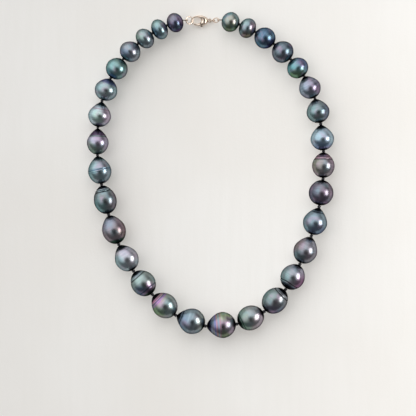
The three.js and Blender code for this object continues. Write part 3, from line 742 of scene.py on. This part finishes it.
def make_end(name, node, pearl, swing):
    """The thread's last loop, in its coil of fine wire, from an end pearl's hole round the ring beside it."""
    away = pearl.along
    hole = pearl.middle + away * pearl.half_length
    reach = Vector(joints[swing]["pos_m"]) - hole
    x = reach.normalized()
    y = UP.cross(x).normalized()
    z = x.cross(y)
    flat_points = [(GIMP_START, GIMP_MOUTH)]
    for degrees in LOOP_TURNS:
        turn = math.radians(degrees)
        flat_points.append((reach.length + LOOP_R * math.cos(turn), LOOP_R * math.sin(turn)))
    flat_points.append((GIMP_START, -GIMP_MOUTH))
    loop = [hole + x * a + z * b for a, b in flat_points]
    coil = coil_round(smooth_line(loop, COIL_STEPS), COIL_R, COIL_PITCH)
    finish_metal(to_mesh(name, *tube(coil, COIL_WIRE_R, 6), 60), pearl.body, node)
    inside = [hole - away * s for s in np.linspace(pearl.half_length, CORE_BEND, CORE_STEPS)]
    strand = smooth_line(inside + [loop[0].lerp(hole, 0.4)] + loop, STRAND_STEPS)
    back = smooth_line([loop[-1], loop[-1].lerp(hole, 0.5), hole - away * LEG_INTO_PEARL], LEG_STEPS)
    points, faces = join(tube(strand, CORE_R, twist=TWIST, lobes=CORE_LOBES), tube(back, CORE_R))
    thread = to_mesh(name + "_thread", points, faces)
    thread.data.materials.append(black_silk)
    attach(thread, pearl.body)
    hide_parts("silk_thread")
    return hole


left_hole = make_end("left_gimp", "gimp_left", pearls[0], "left_ring_swing")
right_hole = make_end("right_gimp", "gimp_right", pearls[-1], "link_swing")

# ---------------------------------------------------------------- lobster-claw clasp

# Millimetres in the clasp's own frame: the eye's middle at the origin, nose towards +X, lever towards +Y.
BODY = (5.5, 0.0, 4.8, 2.9)  # the claw's outline: an oval's middle and its half sizes
MOUTH = (6.9, -0.1, 2.45, 1.65)  # the oval inside it
EYE_R = 1.15
EYE_HOLE_R = 0.6
BELLY = 3.0
NOSE = 2.0
EYE = 1.0
GATE = (4.5, 8.8)
GATE_FLOOR = 0.4
PIN = (3.5, 1.35)
PIN_R = 0.28
PIN_FIT = 0.03  # play round the pin in the claw
LEVER_FIT = 0.05  # and in the lever
SLOT = 1.3
SLOT_START = 1.7
SLOT_FLOOR = 0.1
SLOT_OVERLAP = 0.4  # how far the slot runs into the gate
TONGUE = 0.9
TONGUE_SPAN = (2.7, 5.4)
TONGUE_FLOOR = 0.55
TONGUE_INSET = 0.05  # under the claw's outline
TONGUE_LIFT = 0.04  # above the mouth's edge
TONGUE_BEVEL = 0.05
FIT = 0.14
HEEL_ROOM = 0.26  # between the lever's root and the gate's end
LUG = (4.35, 2.95, 0.62)
LUG_BEVEL = 0.16
SPRING = (2.2, 1.1, 0.34, 0.72)  # its middle and its half sizes
RIVET_HALF = BELLY / 2 - 0.03
RIVET_DOME = ((0, 0.04), (0.02, PIN_R * 0.6), (0.08, PIN_R * 0.93), (0.16, PIN_R))  # depths and radii
LEAF = 0.15
LEAF_HALF_WIDTH = 0.34
LEAF_SWEEP = (20, 340, 40)  # degrees from one end to the other, and the number of slices
CLAW_SWEEP = (48, -236, 110)  # the same, from one side of the gate round to the other
LEVER_SWEEP = (50, 132, 50)  # over the gate
CLAW_SECTION = (1 / 1.3, 28)  # how soft its corners are, and the number of its points
EYE_SECTION = (0.7, 16)
EYE_STEPS = 48
LEVER_THICKNESS = 0.97  # as a share of the claw's
LEVER_PLAY = 0.02
SHARP_DEGREES = 34
THROUGH = 6  # past the whole clasp
TOP = 5  # above the whole clasp, across it

clasp_x = left_hole - right_hole
clasp_x.z = 0
clasp_x.normalize()
clasp_matrix = Matrix((clasp_x, UP.cross(clasp_x), UP)).transposed().to_4x4()
clasp_matrix.translation = Vector(joints["clasp_swing"]["pos_m"])


def thickness_at(x):
    """How thick the claw is: a thin eye, a full belly and a slimmer nose."""
    profile = [(-2, EYE), (0.9, EYE), (1.9, BELLY * 0.9), (3.2, BELLY), (4.6, BELLY * 0.95), (6.6, NOSE),
               (11, NOSE * 0.8)]
    return float(np.interp(x, *zip(*profile)))


def height_of(oval, x):
    """How high the oval's upper edge is at x, or its middle line beside it."""
    middle_x, middle_y, a, b = oval
    return middle_y + b * math.sqrt(max(1 - ((x - middle_x) / a) ** 2, 0))


def ray_to_oval(oval, direction):
    """How far the oval's edge is from the mouth's middle in a direction."""
    x, y, a, b = oval
    px, py = MOUTH[0] - x, MOUTH[1] - y
    dx, dy = direction
    qa = dx * dx / (a * a) + dy * dy / (b * b)
    qb = 2 * (px * dx / (a * a) + py * dy / (b * b))
    qc = px * px / (a * a) + py * py / (b * b) - 1
    return (-qb + math.sqrt(qb * qb - 4 * qa * qc)) / (2 * qa)


def rounded(power, sides):
    """Points round a square from -1 to 1 with soft corners. The lower the power, the squarer it is."""
    for j in range(sides):
        c, s = math.cos(2 * math.pi * j / sides), math.sin(2 * math.pi * j / sides)
        yield math.copysign(abs(c) ** power, c), math.copysign(abs(s) ** power, s)


def claw_section(degrees, thin=1.0, shrink=0.0):
    """A rounded slice through the claw, along a ray from the middle of its mouth."""
    turn = math.radians(degrees)
    ray = (math.cos(turn), math.sin(turn))
    near, far = ray_to_oval(MOUTH, ray) + shrink, ray_to_oval(BODY, ray) - shrink
    slice_points = []
    for u, v in rounded(*CLAW_SECTION):
        r = (near + far) / 2 + u * (far - near) / 2
        x, y = MOUTH[0] + ray[0] * r, MOUTH[1] + ray[1] * r
        slice_points.append(Vector((x, y, v * thickness_at(x) / 2 * thin)))
    return slice_points


def plate(outline, thickness, bevel):
    """A flat plate with softened edges."""
    middle = Vector((sum(p[0] for p in outline) / len(outline), sum(p[1] for p in outline) / len(outline)))
    half = thickness / 2
    sections = []
    for z, inset in ((-half, bevel), (bevel - half, 0), (half - bevel, 0), (half, bevel)):
        ring = []
        for p in outline:
            away = Vector(p) - middle
            ring.append(Vector((*(middle + away * (1 - inset / max(away.length, 0.2))), z)))
        sections.append(ring)
    return skin(sections)


def outward(piece, weld=0.0):
    """Turns every face outwards, after joining points closer than weld."""
    edit = bmesh.new()
    edit.from_mesh(piece.data)
    if weld:
        bmesh.ops.remove_doubles(edit, verts=edit.verts, dist=weld)
    bmesh.ops.recalc_face_normals(edit, faces=edit.faces)
    edit.to_mesh(piece.data)
    edit.free()
    return piece


def solid(name, points_and_faces):
    """A new object with its faces turned outwards, ready for boolean()."""
    return outward(to_mesh(name, *points_and_faces))


def circle(x, y, radius, sides=40):
    """Points round a circle."""
    return [(x + radius * math.cos(2 * math.pi * j / sides), y + radius * math.sin(2 * math.pi * j / sides))
            for j in range(sides)]


def rectangle(x0, x1, y0, y1):
    """Its four corners, in order."""
    return [(x0, y0), (x1, y0), (x1, y1), (x0, y1)]


def cutter(outline, thickness=THROUGH):
    """A plate for boolean(), which goes right through the clasp unless a thickness is given."""
    return solid("cutter", plate(outline, thickness, bevel=0.0))


def washer(radius, hole, thickness):
    """The eye: a ring with rounded edges."""
    sections = []
    for turn in np.linspace(0, 2 * math.pi, EYE_STEPS, endpoint=False):
        ring = []
        for u, v in rounded(*EYE_SECTION):
            r = (radius + hole) / 2 + u * (radius - hole) / 2
            ring.append(Vector((r * math.cos(turn), r * math.sin(turn), v * thickness / 2)))
        sections.append(ring)
    return skin(sections, closed=True)


def in_place(piece):
    """Sets a finished part where the clasp is, in metres, and smooths it apart from its sharp edges."""
    outward(piece, weld=1e-4)
    piece.data.transform(Matrix.Scale(MM, 4))
    shade_smooth(piece.data, SHARP_DEGREES)
    piece.matrix_world = clasp_matrix
    return piece


def claw_body():
    """The claw with its eye, the gap for the gate, the slot for the lever's tongue and the pin's hole."""
    sections = [claw_section(degrees) for degrees in np.linspace(*CLAW_SWEEP)]
    claw = solid("claw_body", skin(sections))
    boolean(claw, solid("eye", washer(EYE_R, EYE_HOLE_R, EYE)), "UNION")
    boolean(claw, cutter(circle(0, 0, EYE_HOLE_R)), "DIFFERENCE")
    boolean(claw, cutter(rectangle(GATE[0], GATE[1], GATE_FLOOR, TOP)), "DIFFERENCE")
    boolean(claw, cutter(rectangle(SLOT_START, GATE[0] + SLOT_OVERLAP, SLOT_FLOOR, TOP), SLOT), "DIFFERENCE")
    boolean(claw, cutter(circle(*PIN, PIN_R + PIN_FIT)), "DIFFERENCE")
    return in_place(claw)


def lever():
    """The gate: a curved finger with a tongue in the slot and a knob for the thumb."""
    sections = [claw_section(degrees, LEVER_THICKNESS, LEVER_PLAY) for degrees in np.linspace(*LEVER_SWEEP)]
    finger = solid("claw_lever", skin(sections))
    keep = cutter(rectangle(GATE[0] + FIT + HEEL_ROOM, GATE[1] - FIT, GATE_FLOOR, TOP))
    boolean(finger, keep, "INTERSECT")
    root, tip = TONGUE_SPAN
    top = [(x, height_of(BODY, x) - TONGUE_INSET) for x in np.linspace(tip, root, 14)]
    low = [(x, max(TONGUE_FLOOR, height_of(MOUTH, x) + TONGUE_LIFT)) for x in np.linspace(root, tip, 12)]
    boolean(finger, solid("tongue", plate(low + top, TONGUE, TONGUE_BEVEL)), "UNION")
    boolean(finger, solid("knob", plate(circle(*LUG), TONGUE, LUG_BEVEL)), "UNION")
    boolean(finger, cutter(circle(*PIN, PIN_R + LEVER_FIT)), "DIFFERENCE")
    return in_place(finger)


def rivet():
    """The lever's pin, its two ends peened into low domes."""
    low = [(depth - RIVET_HALF, r) for depth, r in RIVET_DOME]
    high = [(RIVET_HALF - depth, r) for depth, r in reversed(RIVET_DOME)]
    sections = [[Vector((*p, z)) for p in circle(*PIN, r, 24)] for z, r in low + high]
    return in_place(solid("claw_rivet", skin(sections)))


def leaf_spring():
    """A thin strip bent into a C behind the lever's heel."""
    x, y, a, b = SPRING
    corners = ((0, -LEAF_HALF_WIDTH), (0, LEAF_HALF_WIDTH), (LEAF, LEAF_HALF_WIDTH), (LEAF, -LEAF_HALF_WIDTH))
    sections = []
    for turn in np.radians(np.linspace(*LEAF_SWEEP)):
        c, s = math.cos(turn), math.sin(turn)
        sections.append([Vector((x + (a - inset) * c, y + (b - inset) * s, z)) for inset, z in corners])
    return in_place(solid("claw_spring", skin(sections)))


finish_metal(claw_body(), "clasp", "clasp_body")
finish_metal(lever(), "lever", "clasp_lever")
finish_metal(rivet(), "clasp", "clasp_pin")
finish_metal(leaf_spring(), "clasp", "clasp_spring")

# ---------------------------------------------------------------- floor, light and camera

FLOOR_HALF = 2.5
FLOOR_Z = -0.02 * MM
BRUSH_MARKS = (260.0, 22.0, 1.0)  # grains of noise in a metre, along each axis
LEATHER_DARK = (0.80, 0.77, 0.73, 1)
LEATHER_LIGHT = (0.84, 0.82, 0.79, 1)
LEATHER_BRUSHED = (0.78, 0.76, 0.72, 1)
ROOM = 0.17  # how bright the dim side of the room is
BROAD = 1.68  # and the broad soft light
BROAD_FROM = (127, 45)  # azimuth and tilt, for aimed()
BROAD_EDGE = (0.22, 0.93)
OVERHEAD = (0.05, -0.1, 0.99)
OVERHEAD_EDGE = (0.84, 0.97)
ROOM_COLOUR = (0.97, 0.985, 1.0, 1)
BACKDROP = (0.8, 0.79, 0.78, 1)
KEY_FROM = (2, 53)
KEY_DISTANCE = 0.75
KEY_SIZE = (0.46, 0.3)  # its level side and the other
KEY_POWER = 3.6
KEY_COLOUR = (1.0, 0.99, 0.97)
VIEW_WIDTH = 224.6 * MM
VIEW_SHIFT = (-1.45 * MM, -17.8 * MM)
PEARL_HEIGHT = 6 * MM  # the widest part of the pearls, where VIEW_WIDTH is measured
LENS = 135.0
SENSOR = 36.0
CLIP = (0.01, 20)  # the nearest and the farthest that the camera sees


def leatherette():
    """Off-white leatherette: a fine pebbled grain, faint brush marks and a slow drift of tone."""
    g = material_graph("leatherette")
    place = g.node("ShaderNodeTexCoord").outputs["Object"]
    slow = g.noise(place, scale=9.0, detail=3.0)
    brushed = g.noise(g.vector("MULTIPLY", place, BRUSH_MARKS), scale=1.0, detail=4.0, rough=0.6)
    pebbles = g.cells(place, scale=900.0)
    colour = g.mix(g.step(slow, 0.3, 0.7), LEATHER_DARK, LEATHER_LIGHT)
    colour = g.mix(g.step(brushed, 0.3, 0.75, 0.0, 0.25), colour, LEATHER_BRUSHED)
    height = g.maths("ADD", g.maths("MULTIPLY", pebbles, 0.5), brushed)
    g.set(Base_Color=colour, Roughness=g.step(brushed, 0.2, 0.8, 0.66, 0.78))
    return g.set(Normal=g.bump(height, distance=0.08 * MM, strength=0.5), Specular_IOR_Level=0.2)


def lay_floor():
    """A wide sheet of leatherette, just under the pearls."""
    corners = [(x, y, 0) for x, y in rectangle(-FLOOR_HALF, FLOOR_HALF, -FLOOR_HALF, FLOOR_HALF)]
    floor = to_mesh("floor", corners, [(0, 1, 2, 3)])
    floor.location.z = FLOOR_Z
    floor.data.materials.append(leatherette())


def aimed(azimuth, tilt):
    """The direction at an azimuth, from +X towards +Y, and a tilt from straight up, both in degrees."""
    a, t = math.radians(azimuth), math.radians(tilt)
    return Vector((math.cos(a) * math.sin(t), math.sin(a) * math.sin(t), math.cos(t)))


def key_light():
    """A rectangular soft light low on the right. Only the room's light throws a shadow, as in the photo."""
    lamp = bpy.data.lights.new("key_right", "AREA")
    lamp.shape, lamp.size, lamp.size_y = "RECTANGLE", *KEY_SIZE
    lamp.energy, lamp.color = KEY_POWER, KEY_COLOUR
    lamp.use_shadow = False
    key = bpy.data.objects.new("key_right", lamp)
    bpy.context.scene.collection.objects.link(key)
    direction = aimed(*KEY_FROM)
    key.location = direction * KEY_DISTANCE
    key.rotation_euler = direction.to_track_quat("Z", "Y").to_euler()


def light_room():
    """A dim room under one broad soft light, up and to the back left, with a dark gap straight overhead."""
    world = bpy.data.worlds.new("studio")
    bpy.context.scene.world = world
    g = Graph(world)
    place = g.node("ShaderNodeTexCoord").outputs["Generated"]
    facing = g.vector("DOT_PRODUCT", place, tuple(aimed(*BROAD_FROM)))
    overhead = g.vector("DOT_PRODUCT", place, OVERHEAD)
    soft = g.step(facing, *BROAD_EDGE, ROOM, BROAD)
    level = g.maths("MULTIPLY", soft, g.step(overhead, *OVERHEAD_EDGE, 1.0, 0.0))
    seen = g.node("ShaderNodeLightPath").outputs["Is Camera Ray"]
    lighting = g.node("ShaderNodeBackground", {"Color": ROOM_COLOUR, "Strength": level}).outputs[0]
    backdrop = g.node("ShaderNodeBackground", {"Color": BACKDROP, "Strength": 1.0}).outputs[0]
    both = g.node("ShaderNodeMixShader", {0: seen, 1: lighting, 2: backdrop}).outputs[0]
    g.feed(g.tree.nodes["World Output"].inputs[0], both)


def set_camera():
    """Straight down on the strand, with a long lens."""
    lens = bpy.data.cameras.new("camera")
    lens.lens, lens.sensor_width = LENS, SENSOR
    lens.clip_start, lens.clip_end = CLIP
    camera = bpy.data.objects.new("camera", lens)
    bpy.context.scene.collection.objects.link(camera)
    camera.location = (*VIEW_SHIFT, VIEW_WIDTH * LENS / SENSOR + PEARL_HEIGHT)
    camera.rotation_euler = (0, 0, 0)
    bpy.context.scene.camera = camera


lay_floor()
light_room()
key_light()
set_camera()
bpy.context.scene.view_settings.view_transform = "Standard"
